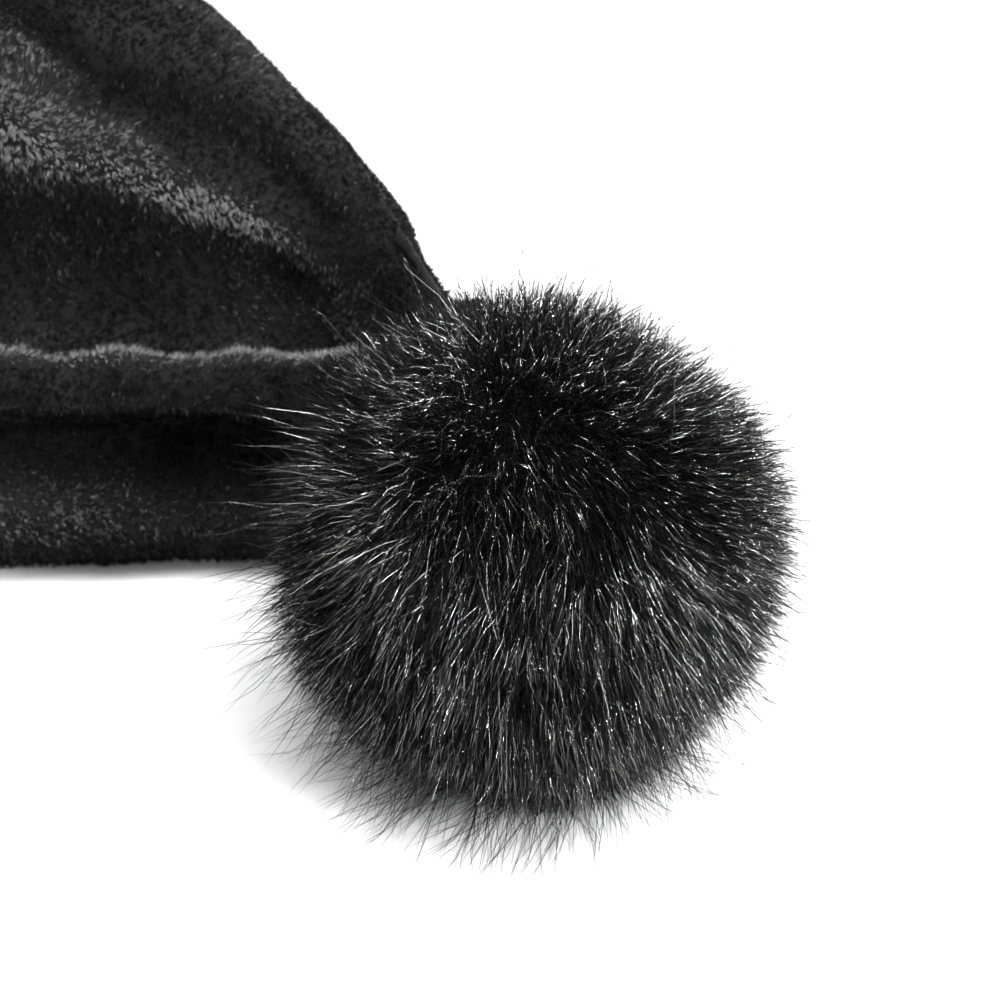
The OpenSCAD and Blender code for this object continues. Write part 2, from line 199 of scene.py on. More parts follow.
def grid_normals(p, closed=True):
    """Outward normals of a grid whose columns run round the hat."""
    along = np.gradient(p, axis=0)
    if closed:
        round_it = (np.roll(p, -1, 1) - np.roll(p, 1, 1)) / 2
    else:
        round_it = np.gradient(p, axis=1)
    return unit(np.cross(along, round_it))


# ---------------------------------------------------------------- folds, pleats and seams of the cloth
fold_long = Waves(1, 120)
fold_mid = Waves(2, 46)
lumps = Waves(3, 15)
ripple = Waves(4, 6.5)
PLEATS = 13


def cloth_detail(x, u, p):
    """How far the plush stands in or out of the plain shape, in mm, on a (rows, columns) grid."""
    q = (HAT_LEN - x)[:, None]
    u = np.mod(u, KNOTS)[None, :]
    d = 0.9 * fold_long(p) + 0.7 * fold_mid(p) + 0.35 * lumps(p) + 0.12 * ripple(p)
    d = d * smooth(0, 55, x - CUFF_W + 40)[:, None]
    # the soft crease that runs to the tip between two hollows
    run = smooth(16, 52, q) * smooth(210, 110, q)
    wander = 0.06 * np.sin(q / 17.0) + 0.05 * np.sin(q / 7.3 + 1.0)
    d = d + run * (2.6 * bell(u, 3.90 + wander, 0.17) - 2.4 * bell(u, 3.50 + wander, 0.22))
    d = d + run * (1.7 * bell(u, 4.62 + 2 * wander, 0.20) - 1.8 * bell(u, 4.28 + wander, 0.16))
    # lengthwise pleats drawn in by the gathering thread
    pleat = np.cos(2 * math.pi * PLEATS * u / KNOTS + 0.8 * np.sin(q / 9.0) + 1.3 * np.sin(u * 1.7))
    d = d + 1.2 * pleat * np.exp(-((q - 7) / 17.0) ** 2) * smooth(0, 5, q)
    # gathers where the cuff draws the shell in
    tuck = np.sin(2 * math.pi * 21 * u / KNOTS + 2.2 * np.sin(u * 0.9))
    d = d + 1.3 * tuck * np.exp(-((x[:, None] - CUFF_W - 6) / 20.0) ** 2)
    # the two side seams, drawn down a little
    wide = np.minimum(1, bell(u, 0, 0.30) + bell(u, KNOTS, 0.30) + bell(u, BACK_U, 0.25))
    at_seam = bell(u, 0, 0.07) + bell(u, KNOTS, 0.07) + bell(u, BACK_U, 0.045)
    calm = 1 - 0.75 * bell(u, 13.2, 1.0)
    return d * (1 - 0.7 * wide) * calm - 0.9 * at_seam * smooth(2, 30, q)


def world(p):
    """Shape-function millimetres to metres in the frame."""
    return (p + np.array(MOUTH)) * MM


FINE_RUN = 110.0  # rows lie closer than the full spacing over this run


def rows_along(x0, x1, spacing, fine_spacing):
    """Row positions from x0 to x1 that close up towards the tip."""
    xs = [x1]
    while xs[-1] > x0:
        q = HAT_LEN - xs[-1]
        xs.append(xs[-1] - (fine_spacing + (spacing - fine_spacing) * min(1, q / FINE_RUN)))
    return np.array(xs[::-1][1:]) if xs[-1] < x0 else np.array(xs[::-1])


WIDEST_Q = 90.0  # the columns are spaced evenly round the section here


def columns_round(count):
    """Column parameters round the hat, evenly spaced along the widest pressed section."""
    u = np.linspace(0, KNOTS, 100 * KNOTS + 1)
    ring = face_points(np.array([HAT_LEN - WIDEST_Q]), u)[0]
    run = np.concatenate([[0], np.cumsum(np.linalg.norm(np.diff(ring, axis=0), axis=1))])
    return np.interp(np.arange(count) * run[-1] / count, run, u)


# ---------------------------------------------------------------- mesh building
def mesh_object(name, verts, faces, materials, face_material=None, flat=False):
    """A mesh object from arrays; verts are metres, faces is (n, 3) or (n, 4) or a list of both."""
    groups = faces if isinstance(faces, list) else [faces]
    loops = np.concatenate([g.ravel() for g in groups]).astype(np.int32)
    sizes = np.concatenate([np.full(len(g), g.shape[1]) for g in groups])
    starts = np.concatenate([[0], np.cumsum(sizes)[:-1]]).astype(np.int32)
    me = bpy.data.meshes.new(name)
    me.vertices.add(len(verts))
    me.vertices.foreach_set("co", np.ascontiguousarray(verts, np.float32).ravel())
    me.loops.add(len(loops))
    me.loops.foreach_set("vertex_index", loops)
    me.polygons.add(len(sizes))
    me.polygons.foreach_set("loop_start", starts)
    me.polygons.foreach_set("use_smooth", np.full(len(sizes), not flat))
    for m in materials:
        me.materials.append(m)
    if face_material is not None:
        me.polygons.foreach_set("material_index", face_material.astype(np.int32))
    me.update(calc_edges=True)
    ob = bpy.data.objects.new(name, me)
    bpy.context.scene.collection.objects.link(ob)
    return ob


def grid_faces(rows, cols, closed=True, start=0, flip=False):
    i, j = np.meshgrid(np.arange(rows - 1), np.arange(cols if closed else cols - 1), indexing="ij")
    a = i * cols + j
    b = i * cols + (j + 1) % cols
    f = np.stack([a, a + cols, b + cols, b], -1).reshape(-1, 4) + start
    return f[:, ::-1] if flip else f


def double_sheet(outer, inner, closed=True):
    """Verts and faces of a closed cloth between two grids that run round the hat."""
    rows, cols = outer.shape[:2]
    n = rows * cols
    verts = np.concatenate([outer.reshape(-1, 3), inner.reshape(-1, 3)])
    j = np.arange(cols if closed else cols - 1)
    k = (j + 1) % cols
    last = (rows - 1) * cols
    rims = [np.stack([j, k, k + n, j + n], 1),
            np.stack([last + j, last + j + n, last + k + n, last + k], 1)]
    faces = [grid_faces(rows, cols, closed, 0), grid_faces(rows, cols, closed, n, True)] + rims
    if not closed:
        i = np.arange(rows - 1) * cols
        e = i + cols - 1
        faces += [np.stack([i, i + n, i + cols + n, i + cols], 1),
                  np.stack([e, e + cols, e + cols + n, e + n], 1)]
    return verts, np.concatenate(faces)


def tubes(paths, radius, taper, sides=3, seed=0):
    """Verts and faces of tapering hairs along paths (n, s, 3); radius is (n,), taper is (s - 1,)."""
    n, s = paths.shape[:2]
    rng = np.random.default_rng(SEED + seed)
    along = unit(np.gradient(paths, axis=1))
    ref = unit(rng.normal(size=(n, 1, 3)))
    b1 = unit(np.cross(along, ref))
    b2 = np.cross(along, b1)
    a = 2 * math.pi * np.arange(sides) / sides
    r = radius[:, None, None, None] * np.asarray(taper)[None, :, None, None]
    cos_a, sin_a = (f(a)[None, None, :, None] for f in (np.cos, np.sin))
    ring = cos_a * b1[:, :-1, None] + sin_a * b2[:, :-1, None]
    rings = paths[:, :-1, None] + r * ring
    verts = np.concatenate([rings.reshape(n, -1, 3), paths[:, -1:]], 1)
    per = verts.shape[1]
    quads, tris = [], []
    for i in range(s - 2):
        for k in range(sides):
            m = (k + 1) % sides
            quads.append([i * sides + k, i * sides + m, (i + 1) * sides + m, (i + 1) * sides + k])
    top = (s - 2) * sides
    for k in range(sides):
        tris.append([top + k, top + (k + 1) % sides, per - 1])
    base = (np.arange(n) * per)[:, None, None]
    quads = (np.array(quads)[None] + base).reshape(-1, 4)
    tris = (np.array(tris)[None] + base).reshape(-1, 3)
    return verts.reshape(-1, 3), [quads, tris]


def hair_object(name, paths, radius, taper, materials, choice, seed=0):
    """Hairs as one mesh; paths in metres, choice gives each hair's material."""
    sides, steps = 3, paths.shape[1]
    verts, faces = tubes(paths, radius, taper, sides, seed)
    mats = np.concatenate([np.repeat(choice, (steps - 2) * sides), np.repeat(choice, sides)])
    return mesh_object(name, verts, faces, materials, mats)


# ---------------------------------------------------------------- materials
def new_material(name):
    m = bpy.data.materials.new(name)
    m.use_nodes = True
    return m, m.node_tree.nodes, m.node_tree.links, m.node_tree.nodes["Principled BSDF"]


def noise_node(nodes, links, scale, detail=4, rough=0.55):
    coords = nodes.new("ShaderNodeTexCoord")
    n = nodes.new("ShaderNodeTexNoise")
    n.inputs["Scale"].default_value = scale
    n.inputs["Detail"].default_value = detail
    n.inputs["Roughness"].default_value = rough
    links.new(coords.outputs["Object"], n.inputs["Vector"])
    return n


def ramp_node(nodes, links, source, stops):
    r = nodes.new("ShaderNodeValToRGB")
    while len(r.color_ramp.elements) < len(stops):
        r.color_ramp.elements.new(0.5)
    for e, (pos, tone) in zip(r.color_ramp.elements, stops):
        e.position = pos
        e.color = (tone, tone, tone, 1)
    links.new(source, r.inputs["Fac"])
    return r


def bump_node(nodes, links, height, strength, distance, bsdf, previous=None):
    b = nodes.new("ShaderNodeBump")
    b.inputs["Strength"].default_value = strength
    b.inputs["Distance"].default_value = distance
    links.new(height, b.inputs["Height"])
    if previous is not None:
        links.new(previous.outputs["Normal"], b.inputs["Normal"])
    links.new(b.outputs["Normal"], bsdf.inputs["Normal"])
    return b


def plush_material():
    """Backing of the pile plush: near black, cloudy where the nap lies differently, with a soft sheen."""
    m, nodes, links, bsdf = new_material("black_plush")
    nap = noise_node(nodes, links, 38, 3, 0.6)
    tone = ramp_node(nodes, links, nap.outputs["Fac"], [(0.30, 0.003), (0.52, 0.005), (0.72, 0.009)])
    links.new(tone.outputs["Color"], bsdf.inputs["Base Color"])
    bsdf.inputs["Roughness"].default_value = 0.9
    bsdf.inputs["Specular IOR Level"].default_value = 0.15
    bsdf.inputs["Sheen Weight"].default_value = 0.10
    bsdf.inputs["Sheen Roughness"].default_value = 0.45
    tufts = noise_node(nodes, links, 1500, 2, 0.6)
    clumps = noise_node(nodes, links, 420, 3, 0.6)
    first = bump_node(nodes, links, tufts.outputs["Fac"], 0.7, 0.0005, bsdf)
    bump_node(nodes, links, clumps.outputs["Fac"], 0.6, 0.0009, bsdf, first)
    return m


def fibre_material(name, tone, roughness, specular=0.5, sheen=0.0, ior=1.5):
    """One shade of fibre. Each hair is a solid shade; the mix of shades gives the variation."""
    m, _, _, bsdf = new_material(name)
    bsdf.inputs["IOR"].default_value = ior
    bsdf.inputs["Base Color"].default_value = (tone, tone, tone * 1.02, 1)
    bsdf.inputs["Roughness"].default_value = roughness
    bsdf.inputs["Specular IOR Level"].default_value = specular
    bsdf.inputs["Sheen Weight"].default_value = sheen
    return m


def satin_material(name, dark, light, sheen=0.2):
    """Fine lining satin with a faint warp line and soft cloudiness."""
    m, nodes, links, bsdf = new_material(name)
    cloud = noise_node(nodes, links, 24, 3, 0.5)
    tone = ramp_node(nodes, links, cloud.outputs["Fac"], [(0.3, dark), (0.7, light)])
    links.new(tone.outputs["Color"], bsdf.inputs["Base Color"])
    bsdf.inputs["Roughness"].default_value = 0.38
    bsdf.inputs["Sheen Weight"].default_value = sheen
    coords = nodes.new("ShaderNodeTexCoord")
    weave = nodes.new("ShaderNodeTexWave")
    weave.bands_direction = "X"
    weave.inputs["Scale"].default_value = 900
    weave.inputs["Distortion"].default_value = 1.5
    links.new(coords.outputs["Object"], weave.inputs["Vector"])
    bump_node(nodes, links, weave.outputs["Fac"], 0.25, 0.0001, bsdf)
    return m


def woven_material(name, dark, light, scale, roughness=0.85):
    """Plain or twill weave: two crossed sets of threads, for bands and tapes."""
    m, nodes, links, bsdf = new_material(name)
    coords = nodes.new("ShaderNodeTexCoord")
    sets = []
    for direction in ("X", "DIAGONAL"):
        w = nodes.new("ShaderNodeTexWave")
        w.bands_direction = direction
        w.inputs["Scale"].default_value = scale
        w.inputs["Distortion"].default_value = 0.6
        links.new(coords.outputs["Object"], w.inputs["Vector"])
        sets.append(w)
    mixed = nodes.new("ShaderNodeMath")
    mixed.operation = "MULTIPLY"
    links.new(sets[0].outputs["Fac"], mixed.inputs[0])
    links.new(sets[1].outputs["Fac"], mixed.inputs[1])
    tone = ramp_node(nodes, links, mixed.outputs[0], [(0.0, dark), (0.6, light)])
    links.new(tone.outputs["Color"], bsdf.inputs["Base Color"])
    bsdf.inputs["Roughness"].default_value = roughness
    bump_node(nodes, links, mixed.outputs[0], 0.6, 0.0002, bsdf)
    return m


def fluffy_material(name, dark, light):
    """Matte fibre mass, for wadding and fur backing."""
    m, nodes, links, bsdf = new_material(name)
    cloud = noise_node(nodes, links, 260, 5, 0.7)
    tone = ramp_node(nodes, links, cloud.outputs["Fac"], [(0.3, dark), (0.7, light)])
    links.new(tone.outputs["Color"], bsdf.inputs["Base Color"])
    bsdf.inputs["Roughness"].default_value = 1.0
    bsdf.inputs["Specular IOR Level"].default_value = 0.1
    bump_node(nodes, links, cloud.outputs["Fac"], 0.9, 0.001, bsdf)
    return m


def thread_material(name, dark, light):
    """Twisted thread: fine diagonal ply lines."""
    m, nodes, links, bsdf = new_material(name)
    coords = nodes.new("ShaderNodeTexCoord")
    ply = nodes.new("ShaderNodeTexWave")
    ply.bands_direction = "DIAGONAL"
    ply.inputs["Scale"].default_value = 1400
    ply.inputs["Distortion"].default_value = 1.0
    links.new(coords.outputs["Object"], ply.inputs["Vector"])
    tone = ramp_node(nodes, links, ply.outputs["Fac"], [(0.1, dark), (0.9, light)])
    links.new(tone.outputs["Color"], bsdf.inputs["Base Color"])
    bsdf.inputs["Roughness"].default_value = 0.5
    bump_node(nodes, links, ply.outputs["Fac"], 0.7, 0.0002, bsdf)
    return m


PLUSH = plush_material()
# the light and bright pile shades mostly carry the painted highlight; a few blades elsewhere get them at
# random
PILE = [
    fibre_material("pile_deep", 0.0025, 0.60, 0.15, 0.02),
    fibre_material("pile_mid", 0.0055, 0.50, 0.25, 0.03),
    fibre_material("pile_soft", 0.018, 0.50, 0.30, 0.05),
    fibre_material("pile_light", 0.060, 0.48, 0.40, 0.08),
    fibre_material("pile_bright", 0.200, 0.45, 0.50, 0.12),
]
FUR = [
    fibre_material("fur_deep", 0.0015, 0.40, 0.12),
    fibre_material("fur_mid", 0.002, 0.24, 0.40),
    fibre_material("fur_glossy", 0.004, 0.16, 1.0, ior=2.3),
    fibre_material("fur_bright", 0.010, 0.13, 1.0, ior=4.0),
]
FUR_BASE = fluffy_material("fur_backing", 0.004, 0.010)
SATIN = satin_material("lining_satin", 0.012, 0.024)
TWILL = woven_material("sweatband_twill", 0.012, 0.035, 420)
THREAD = thread_material("black_thread", 0.008, 0.030)
WADDING = fluffy_material("white_wadding", 0.62, 0.86)
ELASTIC = woven_material("white_elastic", 0.55, 0.85, 300, 0.7)
LABEL = satin_material("label_satin", 0.70, 0.84, 0.1)


# ---------------------------------------------------------------- the plush shell
SHEET_T = 1.3  # backing cloth and pile root under the visible face
ROW_STEP, ROW_STEP_TIP = 2.4, 0.9
COLUMNS = 264
FLOOR_GAP = 0.6  # room for the pile under the resting cloth
SEAM_DEPTH = 2.85  # seam thread below the plush face
SEAM_R = 0.32


def across_fold(ob):
    """Bakes the piece's transform into its mesh and returns it."""
    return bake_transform(ob)


def shell_grid(xs, us):
    """Detailed outer face of the plush and its outward normals."""
    p = face_points(xs, us)
    n = grid_normals(p)
    p = p + n * cloth_detail(xs, us, p)[:, :, None]
    p[:, :, 2] = np.maximum(p[:, :, 2], FLOOR_GAP)
    return p, grid_normals(p)


shell_xs = rows_along(2.0, HAT_LEN, ROW_STEP, ROW_STEP_TIP)
shell_us = columns_round(COLUMNS)
shell_p, shell_n = shell_grid(shell_xs, shell_us)


def make_shell():
    inner = shell_p - SHEET_T * shell_n
    verts, faces = double_sheet(shell_p, inner)
    ob = mesh_object("plush_shell", world(verts), faces, [PLUSH])
    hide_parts("crown_front_panel", "crown_back_panel", "peak_front_panel", "peak_back_panel")
    return across_fold(ob)


def make_seams():
    """The two side seams: stitched thread along the inside of the shell, in crown and peak."""
    xs = np.arange(CUFF_W + 4, HAT_LEN - 26, 2.0)
    paths = []
    for u in (0.0, BACK_U):
        p = face_points(xs, np.array([u - 0.02, u, u + 0.02]))
        n = grid_normals(p, closed=False)[:, 1]
        wave = 0.22 * np.sin(xs * 2.1)[:, None] * unit(p[:, 2] - p[:, 0])
        paths.append(p[:, 1] - SEAM_DEPTH * n + wave)
    paths = np.stack(paths)
    verts, faces = tubes(paths, np.full(2, SEAM_R), np.ones(len(xs) - 1), sides=6, seed=34)
    ob = mesh_object("side_seam_thread", world(verts), faces, [THREAD])
    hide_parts("crown_side_seams", "peak_side_seams")
    return across_fold(ob)


def scatter(rng, p, n, density, keep):
    """Random points and normals on a grid surface: density per mm2, thinned by keep (per cell)."""
    a, b = p[:-1], p[1:]
    a2 = np.roll(a, -1, 1)
    area = np.linalg.norm(np.cross(b - a, a2 - a), axis=2)
    want = area * density * keep
    count = rng.poisson(want)
    i, j = np.nonzero(count)
    reps = count[i, j]
    i, j = np.repeat(i, reps), np.repeat(j, reps)
    s, t = rng.random((2, len(i), 1))
    j2 = (j + 1) % p.shape[1]

    def at(g):
        near = g[i, j] * (1 - s) * (1 - t) + g[i + 1, j] * s * (1 - t)
        return near + g[i, j2] * (1 - s) * t + g[i + 1, j2] * s * t

    return at(p), unit(at(n)), i, j


nap_sweep = Waves(7, 34)
nap_tone = Waves(8, 26)
nap_clump = Waves(9, 3.2)


def painted_nap_highlight(q, u):
    """Painted highlight on the pile: how much lighter its blades are shaded along the crease, on a patch in
    the hollow above it and along the roll's rim, and more faintly on the lower roll, the ridge and the panel
    under the crease; a slight painted shade elsewhere.
    """
    near = smooth(22, 55, q) * smooth(150, 95, q)
    wander = 0.02 * np.sin(q / 5.0)
    # painted highlights: the pile's shade is lifted where light caught the cloth; the nap's lie is unchanged
    # there
    crease = 3.4 * bell(u, 3.88 + wander, 0.12) * near
    patch = 2.6 * bell(u, 4.15, 0.14) * bell(q, 94, 17)
    rim = 3.2 * bell(u, 2.10, 0.32) * smooth(150, 70, q) * smooth(8, 30, q)
    # fainter painted light on the lower roll, the ridge and the panel under the crease
    painted_light_elsewhere = 1.0 * bell(u, 14.3, 0.4) + 0.3 * bell(u, 5.1, 0.3) + 0.45 * bell(u, 3.2, 0.4)
    return crease + patch + rim + painted_light_elsewhere - 0.25


BLADES = 5  # blades in a tuft
ROOT_DEPTH = 0.25  # how deep a blade starts in the backing
LOWEST_TIP = 0.3  # pile and fur end this high above the resting plane
TIP_PILE_Q, MIDDLE_PILE_Q = 112, 215  # where dense pile gives way to coarser pile
PILE_STEPS = [-0.5, 0.45, 1.1, 1.8]  # where one shade of pile gives way to the next
MOST_FACES = 160000  # in one piece of pile or fur


def pile_tufts(name, rows, density, length, width, seed):
    """The pile as tufts of thin blades that lean with the nap and draw together at the tip."""
    rng = np.random.default_rng(SEED + seed)
    p, n = shell_p[rows], shell_n[rows]
    seen = 0.70 + 0.30 * smooth(0.5, 3.0, p[:-1, :, 2])
    root, up, i, j = scatter(rng, p, n, density / BLADES, seen)
    count = len(root)
    lay = np.array([0.75, 0.0, -0.35])
    lay = lay + 0.55 * np.stack([nap_sweep(root), nap_sweep(root + 50), nap_sweep(root + 90)], 1)
    lay = unit(lay - (lay * up).sum(1, keepdims=True) * up)
    lean = 0.80 + 0.45 * nap_clump(root)[:, None]
    tilt = unit(up + lean * lay + 0.28 * rng.normal(size=(count, 3)))
    q = HAT_LEN - shell_xs[rows][i]
    # painted highlight: blades along the crease, the roll's rim and the other lit places get lighter shades
    light = painted_nap_highlight(q, shell_us[j])
    shade = nap_tone(root) * 0.35 + light + rng.normal(size=count) * 0.45
    size = length * rng.uniform(0.75, 1.2, (count, 1, 1))
    spread = rng.normal(size=(count, BLADES, 3)) * 0.30 / math.sqrt(density / 5.6)
    spread = spread - (spread * up[:, None]).sum(2, keepdims=True) * up[:, None]
    foot = root[:, None] + spread - up[:, None] * ROOT_DEPTH
    tip = root[:, None] + (tilt[:, None] + 0.16 * rng.normal(size=foot.shape)) * size + 0.35 * spread
    tip[..., 2] = np.maximum(tip[..., 2], LOWEST_TIP)
    side = unit(np.cross(tip - foot, rng.normal(size=foot.shape))) * width / 2
    verts = np.stack([foot - side, foot + side, tip], 2).reshape(-1, 3)
    faces = np.arange(len(verts)).reshape(-1, 3)
    blade_shade = shade[:, None] + rng.normal(size=(count, BLADES)) * 0.35
    choice = np.digitize(blade_shade.ravel(), PILE_STEPS)
    pieces = math.ceil(len(faces) / MOST_FACES)
    for k in range(pieces):
        pick = np.repeat(np.arange(count) % pieces == k, BLADES)
        part = verts.reshape(-1, 3, 3)[pick].reshape(-1, 3)
        ob = mesh_object(f"{name}_{k + 1}", world(part), faces[:pick.sum()], PILE, choice[pick], flat=True)
        across_fold(ob)


def make_pile():
    near = int(np.searchsorted(shell_xs, HAT_LEN - TIP_PILE_Q))
    middle = int(np.searchsorted(shell_xs, HAT_LEN - MIDDLE_PILE_Q))
    start = int(np.searchsorted(shell_xs, CUFF_W - 6))
    pile_tufts("plush_pile_tip", slice(near, None), 10.0, 1.25, 0.25, 31)
    pile_tufts("plush_pile_middle", slice(middle, near + 1), 3.6, 1.5, 0.40, 32)
    pile_tufts("plush_pile_crown", slice(start, middle + 1), 2.6, 1.7, 0.48, 33)


# ---------------------------------------------------------------- fur
def drooping_paths(root, out, length, droop, floor, steps, rng, jitter):
    """Hair paths that leave along `out` and bend by the droop vectors, lying down on the floor."""
    n = len(root)
    wild = jitter * rng.normal(size=(n, 3))
    twist = jitter * 0.6 * rng.normal(size=(n, 3))
    pts = [root]
    for k in range(steps):
        t = (k + 0.5) / steps
        d = unit(out + wild + twist * math.sin(math.pi * t) + droop * t ** BEND_EARLY)
        p = pts[-1] + d * (length / steps)[:, None]
        low = p[:, 2] < floor
        flat = d.copy()
        flat[:, 2] = 0
        lying = pts[-1] + unit(flat) * (length / steps)[:, None]
        lying[:, 2] = floor[:]
        p = np.where(low[:, None], lying, p)
        pts.append(p)
    return np.stack(pts, 1)


def sphere_points(n):
    k = np.arange(n) + 0.5
    z = 1 - 2 * k / n
    a = math.pi * (1 + 5 ** 0.5) * k
    r = np.sqrt(1 - z * z)
    return np.stack([r * np.cos(a), r * np.sin(a), z], 1)


def nearest(points, centres, block=4000):
    out = []
    for i in range(0, len(points), block):
        out.append(np.argmax(points[i:i + block] @ centres.T, axis=1))
    return np.concatenate(out)


ROLLS_TOP = 2.2 * ROLL_R  # above this the front face leans back
HAIR_GAP = 1.5  # between the front face and hair that lies on it
HAIR_DEPTH = 45.0  # hair further behind the face than this is left alone


def clear_of_shell(paths):
    """Keeps hairs in front of the lying shell: pushes them forwards off its front face."""
    local = paths - np.array(MOUTH)
    q = np.maximum(HAT_LEN - local[..., 0], 0)
    z = local[..., 2]
    above = np.maximum(z - ROLLS_TOP, 0)
    limit = front_y(q) - HAIR_GAP + np.where(above > 0, np.minimum(above * 0.8, 14) + above * 0.3, 0)
    behind = (local[..., 1] > limit) & (q > 2) & (local[..., 1] < limit + HAIR_DEPTH) & (z < ridge_z(q))
    y = np.where(behind, limit + np.array(MOUTH)[1], paths[..., 1])
    out = paths.copy()
    out[..., 1] = y
    return out


ROOT_R = 31.0  # radius of the ball that the hair grows from
FUR_HAIRS = 40000
STRAY_SHARE = 0.11  # hairs that stand out beyond the rest
SHORT_SHARE = 0.30
TIE_HALF_ANGLE = 15  # no hair grows round the tie, degrees
HAIR_LEN = (8, 40)  # shortest and longest
LOCKS = 1700
DROOP = 0.50  # how far the hair sags, as a share of its stiffness
DROOP_FRONT = 1.20  # the same where it falls over the front
FALLS_TOWARDS = unit(np.array([0.28, -0.95, 0.12]))
BEND_EARLY = 0.6  # below 1 the bend sits near the root
FUR_PIECES = 5
CRIMP = 0.32  # how far a hair wavers from its run, mm
FUR_STEPS = [0.55, 0.79, 0.91]  # where one shade of fur gives way to the next
DOWN = np.array([0.0, 0.0, -1.0])


def pompom_hairs():
    """Paths of the pompom's hair in mm, the lock that each hair belongs to, and which hairs are strays."""
    rng = np.random.default_rng(SEED + 40)
    n = unit(sphere_points(FUR_HAIRS) + 0.012 * rng.normal(size=(FUR_HAIRS, 3)))
    n = n[n @ -POM_AXIS < math.cos(math.radians(TIE_HALF_ANGLE))]
    locks = unit(sphere_points(LOCKS) + 0.03 * rng.normal(size=(LOCKS, 3)))
    lock = nearest(n, locks)
    flow = Waves(41, 1.1)
    flow2 = Waves(42, 0.45)

    def paths_for(nn, length, rng2, jitter):
        swirl = np.stack([flow(nn), flow(nn + 7), flow(nn + 19)], 1) * 0.15
        fine = np.stack([flow2(nn), flow2(nn + 5), flow2(nn + 11)], 1) * 0.12
        falls = DROOP + (DROOP_FRONT - DROOP) * smooth(0.35, 0.95, nn @ FALLS_TOWARDS)
        droop = falls[:, None] * DOWN + swirl + fine
        root = POM_C + nn * ROOT_R
        floor = 0.25 + 1.6 * rng2.random(len(nn)) ** 2
        return drooping_paths(root, nn, length, droop, floor, 4, rng2, jitter)

    want = POM_R + 2.8 + 1.5 * flow(n * 1.3) + 1.5 * rng.normal(size=len(n))
    stray = rng.random(len(n)) < STRAY_SHARE
    want = want + stray * rng.uniform(1, 14, len(n)) + stray * 4.0 * np.clip(-n[:, 2], 0, 1)
    short = rng.random(len(n)) < SHORT_SHARE
    want = want - short * rng.uniform(1.5, 7, len(n))
    length = want - ROOT_R
    for _ in range(3):
        p = paths_for(n, length, np.random.default_rng(SEED + 43), 0.0)
        reach = np.linalg.norm(p[:, -1] - POM_C, axis=1)
        length = np.clip(length * (want - ROOT_R) / np.maximum(reach - ROOT_R, 4), *HAIR_LEN)
    wild = np.where(stray, 0.55, 0.27)[:, None] * rng.uniform(0.4, 1.4, (len(n), 1))
    p = paths_for(n, length, np.random.default_rng(SEED + 44), wild)
    centre_len = np.bincount(lock, length, LOCKS) / np.maximum(np.bincount(lock, minlength=LOCKS), 1)
    c = paths_for(locks, np.maximum(centre_len, 10), np.random.default_rng(SEED + 45), 0.12)
    t = np.linspace(0, 1, p.shape[1])[None, :, None] ** 1.4
    pull = rng.uniform(0.0, 0.50, (len(n), 1, 1)) * (1 - 0.95 * stray[:, None, None])
    p = p + (c[lock] - p) * pull * t
    p[:, 1:] += CRIMP * rng.normal(size=p[:, 1:].shape)
    p[..., 2] = np.maximum(p[..., 2], 0.25)
    return clear_of_shell(p), lock, stray


def make_pompom():
    p, lock, stray = pompom_hairs()
    rng = np.random.default_rng(SEED + 50)
    count = len(p)
    radius = rng.uniform(0.055, 0.095, count) * MM
    radius[stray] = rng.uniform(0.055, 0.085, stray.sum()) * MM
    choice = np.digitize(rng.random(count) + 0.15 * rng.normal(size=LOCKS)[lock], FUR_STEPS)
    choice[stray] = np.minimum(choice[stray], 2)
    taper = [1.0, 1.0, 0.9, 0.7]
    for k in range(FUR_PIECES):
        pick = np.arange(count) % FUR_PIECES == k
        name = f"pompom_hair_{k + 1}"
        ob = hair_object(name, p[pick] * MM, radius[pick], taper, FUR, choice[pick], seed=51 + k)
        if k == 0:
            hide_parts("pompom_fur")
        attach(ob, "pompom")
    make_underfur()


def make_underfur():
    """Dense short underfur that the long hairs stand in, with a dimple for the tie."""
    rows, cols = 60, 96
    theta = np.linspace(0.001, math.pi - 0.001, rows)
    phi = np.linspace(0, 2 * math.pi, cols, endpoint=False)
    side = unit(np.cross([0, 0, 1.0], POM_AXIS))
    up = np.cross(POM_AXIS, side)
    st, ct = np.sin(theta)[:, None, None], np.cos(theta)[:, None, None]
    d = -POM_AXIS * ct + st * (np.cos(phi)[None, :, None] * side + np.sin(phi)[None, :, None] * up)
    d = np.broadcast_to(d, (rows, cols, 3))
    tuft = Waves(60, 0.16, 24)
    dimple = 7.6 * bell(theta, 0, math.radians(TIE_HALF_ANGLE))[:, None]
    r = ROOT_R + 1.2 + 0.9 * tuft(d) - dimple
    p = POM_C + d * r[..., None]
    p[..., 2] = np.maximum(p[..., 2], 0.6)
    verts = p.reshape(-1, 3)
    top, bottom = p[0].mean(0), p[-1].mean(0)
    n = len(verts)
    verts = np.concatenate([verts, [top, bottom]])
    j = np.arange(cols)
    k = (j + 1) % cols
    caps = np.concatenate([np.stack([k, j, np.full(cols, n)], 1),
                           np.stack([(rows - 1) * cols + j, (rows - 1) * cols + k, np.full(cols, n + 1)], 1)])
    faces = [grid_faces(rows, cols, flip=True), caps[:, ::-1]]
    ob = mesh_object("pompom_underfur", verts * MM, faces, [FUR_BASE])
    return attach(ob, "pompom")


# ---------------------------------------------------------------- cuff
CUFF_BASE_R = 110.3  # outer radius of the fur's backing
CUFF_IN_R = SHELL_R + 0.4
CUFF_SIDE = 3.0  # the backing ends this far inside the cuff's width
CUFF_CORNER = 3.4
CUFF_BACKING_T = 1.6
CUFF_LOWEST = 2.2  # room for the fur under the resting cuff
CUFF_COLS = 220
CUFF_PIECES = 3
CUFF_DENSITY = 0.42  # hairs per mm2
LOCK_SIZE = 5.5
CUFF_REACH = 4.0  # hair past this in front of the mouth lies back


